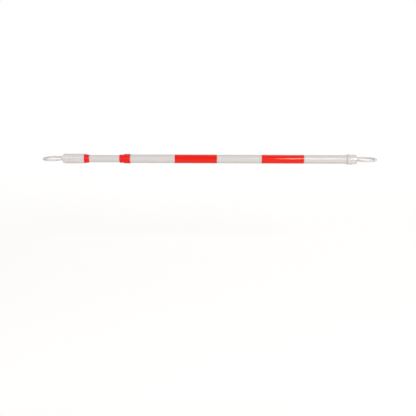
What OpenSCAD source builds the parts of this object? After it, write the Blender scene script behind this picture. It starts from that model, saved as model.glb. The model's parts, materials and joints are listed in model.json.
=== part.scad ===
// Telescopic bar that hangs between two tapered posts by a ring at each end.
// The origin is the centre of the fixed ring. The bar runs from it along -X, and the rings lie flat.

/* [Bar] */
// Length of inner tube that shows between the nut and the collar
shown_length = 139.7; // [14:0.1:690]
// Length of the striped outer tube
outer_tube_length = 1036; // [950:1:1100]
// Outside diameter of the outer tube
outer_tube_d = 40; // [39.5:0.5:44]
// Wall of the outer tube
outer_tube_wall = 1.5; // [1:0.1:1.7]
// Length of the sliding inner tube
inner_tube_length = 995; // [850:1:1030]
// Outside diameter of the inner tube
inner_tube_d = 34; // [30:0.5:34.4]
// Wall of the inner tube
inner_tube_wall = 1.5; // [1:0.1:2.5]

/* [Red bands] */
// White left bare between the fixed ring's socket and the first band
first_white = 199; // [100:1:230]
// Length of each red band
band_length = 194; // [150:1:210]
// Distance from the start of one band to the start of the next
band_pitch = 400; // [300:1:420]
// Thickness of the band's sheet
band_thickness = 0.3; // [0.2:0.05:0.5]
// Open seam where the ends of the sheet meet, at the back
band_seam = 0.8; // [0.4:0.1:2]

/* [Rings] */
// Bore of both rings
ring_bore_d = 88; // [76:1:110]
// Width of the ring's section, from bore to outside
ring_width = 8; // [6:0.5:12]
// Height of the ring's section
ring_height = 9; // [7:0.5:16]
// Rounding of the ring section's corners
ring_edge = 2; // [0.5:0.25:2.5]
// Distance from the ring's bore to the bottom of its socket
end_wall = 10; // [8:0.5:20]
// How far the socket's end stands back from the ring's bore
saddle_back = 2.5; // [1:0.25:4]
// Fillet between ring and socket, seen from above
root_fillet = 12; // [6:1:18]

/* [Fixed socket] */
// Depth of the fixed ring's socket
fixed_depth = 33; // [30:1:60]
// Wall of the fixed ring's socket
fixed_wall = 2.4; // [1.8:0.1:4]
// Height of the rounded bead at the socket's mouth
bead_height = 1.75; // [0.8:0.05:3]
// Width of the bead
bead_width = 13; // [8:0.5:16]
// Distance of the socket screws from the bottom of the socket
screw_place = 12; // [8:0.5:16]
// Diameter of a socket screw's shank
screw_d = 3.8; // [3:0.1:4.5]
// Diameter of a socket screw's head
screw_head_d = 6.8; // [5.5:0.1:7.4]
// Height of a socket screw's head
screw_head_h = 2; // [1.4:0.1:2.6]
// Length of a socket screw under its head
screw_length = 8; // [6:0.5:9]

/* [Length lock] */
// Length of the ferrule inside the outer tube
spigot_length = 30; // [20:1:50]
// Length of the ferrule's screwed head
thread_length = 11; // [8:0.5:16]
// How much smaller the ferrule's head is than the outer tube, on the radius
thread_step = 0.4; // [0.2:0.05:0.6]
// How far the nut's skirt reaches over the outer tube
skirt_length = 5.8; // [4:0.1:12]
// Wall of the nut's skirt
skirt_wall = 1.7; // [1.4:0.1:3]
// Length of the cone between the nut's grip and its nose
step_length = 3; // [2:0.25:6]
// Length of the nut's nose
nose_length = 18; // [10:0.5:30]
// Wall of the nut's nose
nose_wall = 1.9; // [1.4:0.1:3]
// Length of the split grip ring in the nut
lock_grip_length = 12.4; // [9:0.2:20]
// Finger flutes round the nut
nut_flutes = 24; // [12:1:30]
// Depth of a flute
flute_depth = 0.7; // [0.3:0.05:0.9]
// Width of the cutter that makes a flute
flute_d = 3.4; // [2:0.1:4]
// Plain rim beside the flutes
flute_rim = 2.6; // [1:0.1:5]

/* [Turning ring] */
// Depth of the turning ring's sleeve
turning_depth = 86; // [75:1:120]
// Wall of the turning ring's sleeve
turning_wall = 2.75; // [2:0.25:4]
// Wall of the liner in that sleeve
bush_wall = 2.75; // [2.5:0.25:4]
// Length of the bearing land at each end of the liner
bush_land = 12; // [6:1:20]
// Depth of the relief between the lands
bush_relief = 0.4; // [0.2:0.1:0.8]
// Length of the red collar outside the sleeve
collar_length = 23; // [18:0.5:32]
// Plain rim of the collar beside the sleeve
collar_rim = 4; // [3:0.5:6]
// How far the collar's rim stands over the sleeve's bore, on the radius
collar_shoulder = 1.1; // [0.1:0.05:2]
// Wall at the thin end of the collar
collar_edge = 0.5; // [0.4:0.05:1.2]
// Length of the collar's screwed part inside the sleeve
collar_screw = 14; // [10:0.5:20]
// Wall at the end of the collar's screwed part
collar_tip_wall = 0.7; // [0.5:0.05:0.9]
// Grip flutes round the collar
collar_flutes = 20; // [8:1:24]
// Thickness of the grip ring's flange
grip_flange = 2.5; // [1.5:0.1:4]

/* [Plugs and guides] */
// Thickness of the flange that holds the turning ring on
end_flange = 3.5; // [2.5:0.25:6]
// Length of a plug inside the inner tube
plug_length = 25; // [15:1:40]
// Wall of the plugs
plug_wall = 2.2; // [1.5:0.1:3]
// Length of the guide plug's head
guide_head = 12; // [8:0.5:20]
// Distance from the hidden end of the inner tube to the guide bush
guide_spacing = 103; // [60:1:140]
// Length of the guide bush
guide_length = 20; // [14:0.5:30]
// Diameter of a guide bush rivet's shank
rivet_d = 3.2; // [2.4:0.1:4]
// Diameter of a rivet's head
rivet_head_d = 5.2; // [4.5:0.1:6]
// Height of a rivet's head
rivet_head_h = 0.6; // [0.4:0.05:0.7]
// How far a rivet reaches inside the inner tube
rivet_tail = 1.2; // [0.8:0.1:2]

/* [Fits] */
// Radial clearance of glued or pressed pieces
fit_gap = 0.05; // [0.03:0.01:0.1]
// Radial clearance of a grip ring on the inner tube
grip_gap = 0.05; // [0.03:0.01:0.1]
// Radial clearance of the liner on the inner tube
turn_gap = 0.1; // [0.05:0.01:0.1]
// Radial clearance of screwed pieces and of sliding pieces that don't guide
free_gap = 0.3; // [0.3:0.05:0.4]
// Gap between flat faces that meet as a stop
seat_gap = 0.3; // [0.2:0.05:0.5]
// Wall at the thin end of a grip ring
grip_tip_wall = 0.7; // [0.5:0.05:1]
// Slit that lets a grip ring close
grip_slit = 1.6; // [1:0.1:3]
// Rounding of moulded edges
edge_round = 0.8; // [0.3:0.05:1]
// Lead-in chamfer of plugs and bushes
lead_in = 0.6; // [0.3:0.05:0.8]

/* [Hidden] */

white = [0.87, 0.85, 0.84];
milky = [0.9, 0.88, 0.87];
red = [0.93, 0.17, 0.15];
ivory = [0.85, 0.83, 0.76];
steel = [0.62, 0.63, 0.65];

$fn = 96;
arc_steps = 5;
overcut = 1;

// Radii of the tubes and of the rings
outer_r = outer_tube_d / 2;
outer_bore_r = outer_r - outer_tube_wall;
inner_r = inner_tube_d / 2;
inner_bore_r = inner_r - inner_tube_wall;
ring_bore_r = ring_bore_d / 2;
ring_out_r = ring_bore_r + ring_width;
saddle_r = ring_bore_r + saddle_back;
socket_floor = ring_bore_r + end_wall;

// Fixed socket and outer tube, as distances from the fixed ring along the bar
fixed_mouth = socket_floor + fixed_depth;
fixed_bore_r = outer_r + fit_gap;
fixed_r = fixed_bore_r + fixed_wall;
tube_start = socket_floor + seat_gap;
tube_end = tube_start + outer_tube_length;
bead_r = bead_height / 2 + bead_width * bead_width / (8 * bead_height);
bead_centre = fixed_mouth - edge_round - bead_width / 2;
screw_at = socket_floor + screw_place;
screw_seat_r = sqrt(fixed_r * fixed_r - screw_head_d * screw_head_d / 4) - fit_gap;
screw_hole_r = screw_d / 2 + fit_gap;
screw_angles = [180, 270];

// Length lock
bore_free_r = inner_r + free_gap;
thread_r = outer_r - thread_step;
nut_bore_r = thread_r + free_gap;
skirt_bore_r = outer_r + free_gap;
nut_grip_r = skirt_bore_r + skirt_wall;
nut_nose_r = bore_free_r + nose_wall;
ferrule_end = tube_end + thread_length;
lock_grip_start = ferrule_end + seat_gap;
lock_grip_end = lock_grip_start + lock_grip_length;
lock_cone_start = lock_grip_start + lock_grip_length / 8;
nut_start = tube_end - skirt_length;
nut_cavity_end = lock_grip_end + seat_gap;
nut_step_start = nut_cavity_end - step_length / 2;
nut_nose_start = nut_step_start + step_length;
nut_end = nut_nose_start + nose_length;
grip_bore_r = inner_r + grip_gap;
grip_tip_r = grip_bore_r + grip_tip_wall;

// Turning ring, as distances from its own centre along the sleeve
turning_mouth = socket_floor + turning_depth;
bush_bore_r = inner_r + turn_gap;
bush_r = bush_bore_r + bush_wall;
sleeve_bore_r = bush_r + fit_gap;
turning_r = sleeve_bore_r + turning_wall;
flange_start = socket_floor + seat_gap;
inner_start = flange_start + end_flange;
collar_r = sleeve_bore_r + collar_shoulder;
sleeve_free_r = sleeve_bore_r - free_gap;
collar_end = turning_mouth + collar_length;
collar_tip = turning_mouth - collar_screw;
collar_cone_r = sleeve_free_r - collar_tip_wall;
grip_flange_end = collar_tip - seat_gap;
grip_flange_start = grip_flange_end - grip_flange;
bush_start = inner_start + seat_gap;
bush_end = grip_flange_start - seat_gap;

// Distance between the centres of the two rings
ring_span = nut_end + shown_length + collar_end;

// Guides on the inner tube, as distances from the turning ring along the bar
inner_end = inner_start + inner_tube_length;
guide_end = inner_end - guide_spacing;
guide_start = guide_end - guide_length;
guide_r = outer_bore_r - free_gap;
plug_r = inner_bore_r - fit_gap;
plug_bore_r = plug_r - plug_wall;
bush_seat_r = inner_r + fit_gap;
rivet_seat_r = guide_r - rivet_head_h - fit_gap;

// Points of a quarter round from angle a to angle a + 90
function quarter(x, y, r, a) =
    [for (i = [0:arc_steps]) [x + r * cos(a + 90 * i / arc_steps), y + r * sin(a + 90 * i / arc_steps)]];

// Turns an outline of [radius, distance] points about the bar, from the fixed ring
module turn_left() {
    rotate([0, -90, 0])
        rotate_extrude()
            children();
}

// Turns an outline of [radius, distance] points about the bar, from the turning ring
module turn_right() {
    translate([-ring_span, 0, 0])
        rotate([0, 90, 0])
            rotate_extrude()
                children();
}

// Plain hollow round between two distances
module hollow(bore_r, out_r, from, to) {
    translate([bore_r, from])
        square([out_r - bore_r, to - from]);
}

// Solid or hollow round with rounded outer corners
module rounded_hollow(bore_r, out_r, from, to, edge) {
    polygon(concat(
        [[bore_r, from]],
        quarter(out_r - edge, from + edge, edge, -90),
        quarter(out_r - edge, to - edge, edge, 0),
        [[bore_r, to]]));
}

// Hollow round whose outer corners are chamfered for an easy start
module chamfered_hollow(bore_r, out_r, from, to, chamfer) {
    polygon([
        [bore_r, from], [out_r - chamfer, from], [out_r, from + chamfer],
        [out_r, to - chamfer], [out_r - chamfer, to], [bore_r, to]]);
}

// Ring of rounded section round the Z axis
module ring_band() {
    half = ring_height / 2;
    rotate_extrude()
        polygon(concat(
            quarter(ring_out_r - ring_edge, half - ring_edge, ring_edge, 0),
            quarter(ring_bore_r + ring_edge, half - ring_edge, ring_edge, 90),
            quarter(ring_bore_r + ring_edge, ring_edge - half, ring_edge, 180),
            quarter(ring_out_r - ring_edge, ring_edge - half, ring_edge, 270)));
}

// Concave web that blends one side of the ring into a sleeve of radius sleeve_r along +X
module root_web(sleeve_r) {
    centre_y = sleeve_r + root_fillet;
    centre_x = sqrt(pow(ring_out_r + root_fillet, 2) - centre_y * centre_y);
    share = ring_out_r / (ring_out_r + root_fillet);
    linear_extrude(ring_height - 2 * ring_edge, center = true)
        difference() {
            polygon([
                [centre_x * share, centre_y * share], [centre_x, centre_y],
                [centre_x, sleeve_r / 2], [centre_x * share, sleeve_r / 2]]);
            translate([centre_x, centre_y])
                circle(root_fillet);
        }
}

// Ring with a sleeve along +X: children are the sleeve's outline, and its socket is bored by the caller
module ring_with_sleeve(sleeve_r) {
    ring_band();
    difference() {
        union() {
            rotate([0, 90, 0])
                rotate_extrude()
                    children();
            for (side = [0, 1])
                mirror([0, side, 0])
                    root_web(sleeve_r);
        }
        cylinder(r = saddle_r, h = 2 * sleeve_r + 2 * overcut, center = true);
    }
}

// Round cut along +X
module bore_right(r, from, to) {
    translate([from, 0, 0])
        rotate([0, 90, 0])
            cylinder(r = r, h = to - from);
}

// Places a piece that points along +Z so that it points out of the bar, at a distance along +X
module radial(at, angle) {
    translate([at, 0, 0])
        rotate([angle, 0, 0])
            children();
}

module fixed_ring() {
    color(milky)
        mirror([1, 0, 0])
            difference() {
                ring_with_sleeve(fixed_r) {
                    rounded_hollow(0, fixed_r, 0, fixed_mouth, edge_round);
                    intersection() {
                        translate([fixed_r + bead_height - bead_r, bead_centre])
                            circle(bead_r);
                        hollow(fixed_bore_r, fixed_r + bead_height + overcut,
                            bead_centre - bead_width / 2, bead_centre + bead_width / 2);
                    }
                }
                bore_right(fixed_bore_r, socket_floor, fixed_mouth + overcut);
                for (angle = screw_angles)
                    radial(screw_at, angle) {
                        cylinder(r = screw_hole_r, h = fixed_r + overcut);
                        translate([0, 0, screw_seat_r])
                            cylinder(d = screw_head_d + 2 * fit_gap, h = fixed_r);
                    }
            }
}

// Pan-head screw, with its seat at the origin and its head up
module pan_screw() {
    recess_w = screw_head_d / 7;
    recess_l = screw_head_d / 1.7;
    brim = screw_head_h / 2.5;
    difference() {
        union() {
            rotate_extrude()
                polygon(concat(
                    [[0, 0], [screw_head_d / 2, 0]],
                    quarter(screw_head_d / 2 - brim, screw_head_h - brim, brim, 0),
                    [[0, screw_head_h]]));
            translate([0, 0, -screw_length])
                cylinder(d = screw_d, h = screw_length + screw_head_h / 2);
        }
        for (turn = [0, 90])
            rotate(turn)
                translate([-recess_l / 2, -recess_w / 2, screw_head_h / 2])
                    cube([recess_l, recess_w, screw_head_h]);
    }
}

module socket_screws() {
    color(steel)
        mirror([1, 0, 0])
            for (angle = screw_angles)
                radial(screw_at, angle)
                    translate([0, 0, screw_seat_r + fit_gap])
                        pan_screw();
}

module outer_tube() {
    color(white)
        difference() {
            turn_left()
                hollow(outer_bore_r, outer_r, tube_start, tube_end);
            mirror([1, 0, 0])
                for (angle = screw_angles)
                    radial(screw_at, angle)
                        cylinder(r = screw_hole_r, h = outer_r + overcut);
        }
}

// One turn of red sheet round the outer tube, open by a seam at the back
module red_band(index) {
    start = fixed_mouth + first_white + index * band_pitch;
    sheet_r = outer_r + fit_gap;
    color(red)
        difference() {
            turn_left()
                hollow(sheet_r, sheet_r + band_thickness, start, start + band_length);
            translate([-start - band_length - overcut, 0, -band_seam / 2])
                cube([band_length + 2 * overcut, outer_r + band_thickness + overcut, band_seam]);
        }
}

module lock_ferrule() {
    spigot_r = outer_bore_r - fit_gap;
    color(ivory)
        turn_left() {
            chamfered_hollow(bore_free_r, spigot_r, tube_end - spigot_length, tube_end + lead_in, lead_in);
            chamfered_hollow(bore_free_r, thread_r, tube_end, ferrule_end, lead_in);
        }
}

module lock_grip_ring() {
    color(ivory)
        difference() {
            turn_left()
                polygon([
                    [grip_bore_r, lock_grip_start], [thread_r, lock_grip_start],
                    [thread_r, lock_cone_start], [grip_tip_r, lock_grip_end],
                    [grip_bore_r, lock_grip_end]]);
            translate([-lock_grip_end - overcut, 0, -grip_slit / 2])
                cube([lock_grip_length + 2 * overcut, outer_r, grip_slit]);
        }
}

// Round-ended cutters set round the bar, which cut flutes under a line from radius from_r to radius to_r
module flutes(count, from_r, to_r, from, to) {
    slope = atan2(to_r - from_r, to - from);
    run = norm([to - from, to_r - from_r]);
    for (i = [0:count - 1])
        rotate([(i + 0.5) * 360 / count, 0, 0])
            translate([-from, 0, from_r - flute_depth + flute_d / 2])
                rotate([0, slope, 0]) {
                    bore_right(flute_d / 2, -run, 0);
                    for (end = [-run, 0])
                        translate([end, 0, 0])
                            sphere(d = flute_d);
                }
}

module lock_nut() {
    color(red)
        difference() {
            turn_left()
                polygon(concat(
                    [[skirt_bore_r, nut_start]],
                    quarter(nut_grip_r - edge_round, nut_start + edge_round, edge_round, -90),
                    [[nut_grip_r, nut_step_start], [nut_nose_r, nut_nose_start]],
                    quarter(nut_nose_r - edge_round, nut_end - edge_round, edge_round, 0),
                    [
                        [bore_free_r, nut_end], [bore_free_r, nut_cavity_end],
                        [grip_tip_r + free_gap, nut_cavity_end], [nut_bore_r, lock_cone_start],
                        [nut_bore_r, tube_end + seat_gap], [skirt_bore_r, tube_end + seat_gap]
                    ]));
            flutes(nut_flutes, nut_grip_r, nut_grip_r, nut_start + flute_rim + flute_d / 2, nut_nose_start);
        }
}

module inner_tube() {
    color(white)
        difference() {
            turn_right()
                hollow(inner_bore_r, inner_r, inner_start, inner_end);
            rivet_holes();
        }
}

// Places a piece at each rivet of the guide bush, pointing out of the bar
module at_rivets() {
    for (angle = [90, 270])
        radial((guide_start + guide_end) / 2 - ring_span, angle)
            children();
}

module rivet_holes() {
    at_rivets()
        cylinder(d = rivet_d + 2 * fit_gap, h = guide_r + overcut);
}

module guide_bush() {
    color(ivory)
        difference() {
            turn_right()
                chamfered_hollow(bush_seat_r, guide_r, guide_start, guide_end, lead_in);
            rivet_holes();
            at_rivets()
                translate([0, 0, rivet_seat_r])
                    cylinder(d = rivet_head_d + 2 * fit_gap, h = guide_r);
        }
}

module bush_rivets() {
    color(steel)
        at_rivets() {
            translate([0, 0, inner_bore_r - rivet_tail])
                cylinder(d = rivet_d, h = rivet_seat_r + fit_gap + rivet_tail - inner_bore_r);
            translate([0, 0, rivet_seat_r + fit_gap])
                cylinder(d = rivet_head_d, h = rivet_head_h);
        }
}

module guide_plug() {
    color(ivory)
        turn_right() {
            chamfered_hollow(plug_bore_r, plug_r, inner_end - plug_length, inner_end + guide_head / 2, lead_in);
            chamfered_hollow(0, guide_r, inner_end, inner_end + guide_head, lead_in);
        }
}

module ring_end_plug() {
    color(ivory)
        turn_right() {
            chamfered_hollow(plug_bore_r, plug_r, inner_start - lead_in, inner_start + plug_length, lead_in);
            hollow(0, sleeve_free_r, flange_start, inner_start);
        }
}

module turning_ring() {
    color(milky)
        translate([-ring_span, 0, 0])
            difference() {
                ring_with_sleeve(turning_r)
                    rounded_hollow(0, turning_r, 0, turning_mouth, edge_round);
                bore_right(sleeve_bore_r, socket_floor, turning_mouth + overcut);
            }
}

module ring_bush() {
    relief_r = bush_bore_r + bush_relief;
    color(ivory)
        turn_right()
            difference() {
                chamfered_hollow(bush_bore_r, bush_r, bush_start, bush_end, lead_in);
                hollow(0, relief_r, bush_start + bush_land, bush_end - bush_land);
            }
}

// Bore of the collar's cone at a distance from the turning ring
function cone_r(at) =
    collar_cone_r + (grip_tip_r + free_gap - collar_cone_r) * (at - collar_tip) / (turning_mouth - collar_tip);

module ring_grip_ring() {
    grip_end = turning_mouth - collar_rim;
    color(ivory)
        difference() {
            turn_right()
                polygon([
                    [grip_bore_r, grip_flange_start], [sleeve_free_r, grip_flange_start],
                    [sleeve_free_r, grip_flange_end], [cone_r(grip_flange_end) - free_gap, grip_flange_end],
                    [cone_r(grip_end) - free_gap, grip_end], [grip_bore_r, grip_end]]);
            translate([grip_flange_start - overcut - ring_span, 0, -grip_slit / 2])
                cube([grip_end - grip_flange_start + 2 * overcut, outer_r, grip_slit]);
        }
}

module ring_collar() {
    rim_end = turning_mouth + collar_rim;
    thin_r = bore_free_r + collar_edge;
    color(red)
        difference() {
            turn_right()
                polygon([
                    [collar_cone_r, collar_tip], [sleeve_free_r, collar_tip],
                    [sleeve_free_r, turning_mouth + seat_gap], [collar_r, turning_mouth + seat_gap],
                    [collar_r, rim_end], [thin_r, collar_end],
                    [bore_free_r, collar_end], [bore_free_r, turning_mouth],
                    [cone_r(turning_mouth), turning_mouth]]);
            translate([-ring_span, 0, 0])
                mirror([1, 0, 0])
                    flutes(collar_flutes, collar_r, thin_r + flute_depth, rim_end, collar_end);
        }
}

fixed_ring();
socket_screws();
outer_tube();
red_band(0);  // red_band_ring_side
red_band(1);  // red_band_lock_side
lock_ferrule();
lock_grip_ring();
lock_nut();
inner_tube();
guide_plug();
guide_bush();
bush_rivets();
ring_end_plug();
turning_ring();
ring_bush();
ring_grip_ring();
ring_collar();
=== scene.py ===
"""Looks of a telescopic red and white bar with a ring at each end.

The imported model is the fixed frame: its origin is the centre of the fixed ring, the bar runs from it
along -X and the rings lie flat. This script gives every solid its finish and adds the fine marks of
moulding, the screws as they show, the camera, the lights and the floor. Lengths are in metres.
"""

import json
import logging
import math
from abc import ABC, abstractmethod
from collections.abc import Callable, Mapping, Sequence
from dataclasses import dataclass
from enum import Enum
from functools import cached_property

import bmesh
import bpy
from mathutils import Matrix, Vector


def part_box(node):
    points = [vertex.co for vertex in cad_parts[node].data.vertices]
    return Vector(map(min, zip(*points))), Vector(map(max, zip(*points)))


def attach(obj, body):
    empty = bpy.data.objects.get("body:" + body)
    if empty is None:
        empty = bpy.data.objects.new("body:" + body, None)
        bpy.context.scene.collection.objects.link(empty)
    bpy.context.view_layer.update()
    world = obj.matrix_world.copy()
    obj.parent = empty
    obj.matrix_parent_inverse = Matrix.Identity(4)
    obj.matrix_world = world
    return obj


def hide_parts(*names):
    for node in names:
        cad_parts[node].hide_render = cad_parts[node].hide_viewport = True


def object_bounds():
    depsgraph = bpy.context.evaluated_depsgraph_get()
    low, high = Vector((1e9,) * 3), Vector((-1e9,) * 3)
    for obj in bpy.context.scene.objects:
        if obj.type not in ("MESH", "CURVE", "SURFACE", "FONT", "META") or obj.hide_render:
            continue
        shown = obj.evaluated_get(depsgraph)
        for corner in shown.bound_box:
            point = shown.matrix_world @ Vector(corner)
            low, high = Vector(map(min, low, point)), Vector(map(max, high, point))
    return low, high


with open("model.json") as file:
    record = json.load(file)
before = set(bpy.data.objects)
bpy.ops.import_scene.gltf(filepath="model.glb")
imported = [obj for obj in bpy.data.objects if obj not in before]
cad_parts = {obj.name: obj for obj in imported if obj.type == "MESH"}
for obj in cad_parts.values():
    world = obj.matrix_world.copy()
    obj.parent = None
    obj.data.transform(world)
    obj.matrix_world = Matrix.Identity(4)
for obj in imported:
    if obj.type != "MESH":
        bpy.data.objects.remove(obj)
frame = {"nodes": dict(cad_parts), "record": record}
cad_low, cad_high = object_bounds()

log = logging.getLogger("striped_bar")

Colour = tuple[float, float, float, float]
Element = bmesh.types.BMFace | bmesh.types.BMEdge
Material = bpy.types.Material
Outline = tuple[tuple[float, float], ...]
Piece = bpy.types.Object
Range = tuple[float, float]
Socket = bpy.types.NodeSocket
Triple = tuple[float, float, float]
Value = Socket | float
Inputs = Mapping[int | str, Value | Sequence[float]]

MM = 0.001
# Distance below which two points are one.
TOUCH = 1e-6
# Share of a normal along an axis above which a face looks that way.
FACING = 0.9
WHITE: Colour = (1.0, 1.0, 1.0, 1.0)
# Levels of a cloudy noise between which a colour or a gloss fades in.
SOFT: Range = (0.3, 0.7)
WIDE: Range = (0.25, 0.75)
# Places of the colour sockets on a Mix node.
MIX_SHARE, MIX_FIRST, MIX_SECOND, MIX_RESULT = 0, 6, 7, 2


class Slot(Enum):
    """Material slots of the record."""

    MILKY = "milky_plastic"
    RED = "red_plastic"
    STEEL = "steel"


class Body(Enum):
    """Moving bodies of the bar that carry new pieces."""

    TUBE = "main_tube"
    TURNING = "turning_ring_end"
    COLLAR = "ring_collar_nut"
    NUT = "lock_nut_body"


class Along(Enum):
    """Way along X in which a moulding points away from its end of the bar."""

    LEFT = -1
    RIGHT = 1


class Pick(Enum):
    """Kinds of element that are selected in an open mesh."""

    FACES = "FACE"
    EDGES = "EDGE"


def colour(red: int, green: int, blue: int) -> Colour:
    """Turns a colour as seen on a screen into the linear colour of a shader.

    Args:
        red: Red, from 0 to 255.
        green: Green, from 0 to 255.
        blue: Blue, from 0 to 255.

    Returns:
        The linear colour, with an alpha of 1.
    """

    def linear(level: int) -> float:
        """Undoes the screen's curve for one channel."""
        share = level / 255
        return share / 12.92 if share <= 0.04045 else ((share + 0.055) / 1.055) ** 2.4

    return (linear(red), linear(green), linear(blue), 1.0)


class Graph:
    """Shader nodes of one material or of the world, added and linked by short calls."""

    LINE_SHIFT: Triple = (3.1, 1.7, 0.4)
    PATCH_SHIFT: Triple = (7.3, 2.9, 5.1)
    PATCH_SCALE = 0.6
    PATCH_FADE = 0.12
    EDGE_SAMPLES = 4
    EDGE_TURN: Range = (0.99, 0.86)

    def __init__(self, name: str, world: bool = False) -> None:
        """Starts an empty material, or an empty world.

        Args:
            name: Its name.
            world: Whether it is a world.
        """
        self.owner = (bpy.data.worlds if world else bpy.data.materials).new(name)
        self.owner.use_nodes = True
        self.tree = self.owner.node_tree
        self.tree.nodes.clear()

    @cached_property
    def place(self) -> Socket:
        """The piece's own coordinates."""
        return self.add("ShaderNodeTexCoord", {}).outputs["Object"]

    def add(self, kind: str, inputs: Inputs, **settings: object) -> bpy.types.Node:
        """Adds a node.

        Args:
            kind: The node's type.
            inputs: Outputs of other nodes, or constants, by the names or places of its inputs.
            settings: Properties to set on it.

        Returns:
            The new node.
        """
        node = self.tree.nodes.new(kind)
        for key, value in settings.items():
            setattr(node, key, value)
        for key, value in inputs.items():
            if isinstance(value, Socket):
                self.tree.links.new(value, node.inputs[key])
            else:
                node.inputs[key].default_value = value
        return node

    def math(self, operation: str, first: Value, second: Value = 0.0) -> Socket:
        """Returns the result of a Math node."""
        return self.add("ShaderNodeMath", {0: first, 1: second}, operation=operation).outputs[0]

    def plus(self, first: Value, second: Value) -> Socket:
        """Returns the sum of two values."""
        return self.math("ADD", first, second)

    def minus(self, first: Value, second: Value) -> Socket:
        """Returns the first value less the second."""
        return self.math("SUBTRACT", first, second)

    def times(self, first: Value, second: Value) -> Socket:
        """Returns the product of two values."""
        return self.math("MULTIPLY", first, second)

    def larger(self, first: Value, second: Value) -> Socket:
        """Returns the larger of two values."""
        return self.math("MAXIMUM", first, second)

    def apart(self, first: Value, second: Value) -> Socket:
        """Returns how far two values are apart."""
        return self.math("ABSOLUTE", self.minus(first, second))

    def radius(self, first: Value, second: Value) -> Socket:
        """Returns the distance from an axis of a point at two offsets across it."""
        return self.math("SQRT", self.plus(self.times(first, first), self.times(second, second)))

    def ramp(self, value: Value, low: float, high: float, start: float = 0.0, end: float = 1.0) -> Socket:
        """Returns a value mapped smoothly, so that low gives start and high gives end."""
        inputs = dict(enumerate((value, low, high, start, end)))
        return self.add("ShaderNodeMapRange", inputs, interpolation_type="SMOOTHSTEP").outputs[0]

    def mix(self, share: Value, first: Value | Colour, second: Value | Colour) -> Socket:
        """Returns a blend of two colours, with a share of the second."""
        inputs = {MIX_SHARE: share, MIX_FIRST: first, MIX_SECOND: second}
        return self.add("ShaderNodeMix", inputs, data_type="RGBA").outputs[MIX_RESULT]

    def axes(self) -> tuple[Socket, ...]:
        """Returns the piece's own X, Y and Z as three values."""
        return tuple(self.add("ShaderNodeSeparateXYZ", {0: self.place}).outputs)

    def noise(
        self,
        scale: float | Triple,
        detail: float = 3.0,
        rough: float = 0.5,
        shift: Triple = (0.0, 0.0, 0.0),
    ) -> Socket:
        """Adds cloudy noise on the piece's own coordinates.

        Args:
            scale: Clouds per metre, alike or along X, Y and Z.
            detail: Octaves.
            rough: Weight of the finer octaves.
            shift: Move of the pattern.

        Returns:
            A value from 0 to 1.
        """
        factors = scale if isinstance(scale, tuple) else (scale,) * 3
        mapping = {"Vector": self.place, "Scale": factors, "Location": shift}
        stretched = self.add("ShaderNodeMapping", mapping).outputs[0]
        inputs = {"Vector": stretched, "Scale": 1.0, "Detail": detail, "Roughness": rough}
        return self.add("ShaderNodeTexNoise", inputs).outputs["Fac"]

    def hairlines(self, scale: Triple, width: float, kept: float) -> Socket:
        """Adds thin wandering scratches, which are the level lines of a stretched noise.

        Args:
            scale: Clouds per metre along X, Y and Z.
            width: Width of a line, as a share of the noise.
            kept: Level of a second noise above which lines show.

        Returns:
            A mask from 0 to 1.
        """
        level = self.noise(scale, shift=self.LINE_SHIFT)
        line = self.ramp(self.apart(level, 0.5), 0.0, width, 1.0, 0.0)
        wide = tuple(clouds * self.PATCH_SCALE for clouds in scale)
        patch = self.noise(wide, detail=1.0, shift=self.PATCH_SHIFT)
        return self.times(line, self.ramp(patch, kept, kept + self.PATCH_FADE))

    def near(self, places: Sequence[float], reach: float) -> Socket:
        """Adds a mask that is 1 at some places along the bar and fades away from them.

        Args:
            places: Places on the X axis.
            reach: Distance at which it has faded out.

        Returns:
            A mask from 0 to 1.
        """
        along = self.axes()[0]
        total: Value = 0.0
        for place in places:
            total = self.larger(total, self.ramp(self.apart(along, place), 0.0, reach, 1.0, 0.0))
        return total

    def soft_edges(self, radius: float) -> tuple[Socket, Socket]:
        """Rounds sharp edges in the shading and finds them.

        Args:
            radius: Radius of the rounding.

        Returns:
            The rounded normal, and a mask that is 1 on sharp edges.
        """
        rounded = self.add("ShaderNodeBevel", {"Radius": radius}, samples=self.EDGE_SAMPLES).outputs[0]
        flat = self.add("ShaderNodeNewGeometry", {}).outputs["Normal"]
        alike = self.add("ShaderNodeVectorMath", {0: rounded, 1: flat}, operation="DOT_PRODUCT")
        return rounded, self.ramp(alike.outputs["Value"], *self.EDGE_TURN)

    def bump(self, height: Value, distance: float, normal: Socket | None = None) -> Socket:
        """Turns a height into a normal.

        Args:
            height: Height from 0 to 1.
            distance: What a height of 1 stands for.
            normal: Normal to start from.

        Returns:
            The new normal.
        """
        inputs = {"Strength": 1.0, "Distance": distance, "Height": height}
        if normal is not None:
            inputs["Normal"] = normal
        return self.add("ShaderNodeBump", inputs).outputs[0]

    def seen(self) -> Socket:
        """Tells rays that show a surface to the camera, directly or by gloss or glass, from all others.

        Returns:
            A value of 1 for those rays and 0 for others.
        """
        rays = self.add("ShaderNodeLightPath", {}).outputs
        mirrored = self.larger(rays["Is Glossy Ray"], rays["Is Transmission Ray"])
        return self.larger(rays["Is Camera Ray"], mirrored)

    def end(self, shader: Socket) -> Material:
        """Ends the graph with a shader, and returns the finished material."""
        self.add("ShaderNodeOutputMaterial", {"Surface": shader})
        return self.owner

    def surface(self, **inputs: Value | Colour) -> Material:
        """Ends the graph with a Principled shader, whose inputs are named with underscores for spaces."""
        named = {key.replace("_", " "): value for key, value in inputs.items()}
        return self.end(self.add("ShaderNodeBsdfPrincipled", named).outputs[0])


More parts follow.
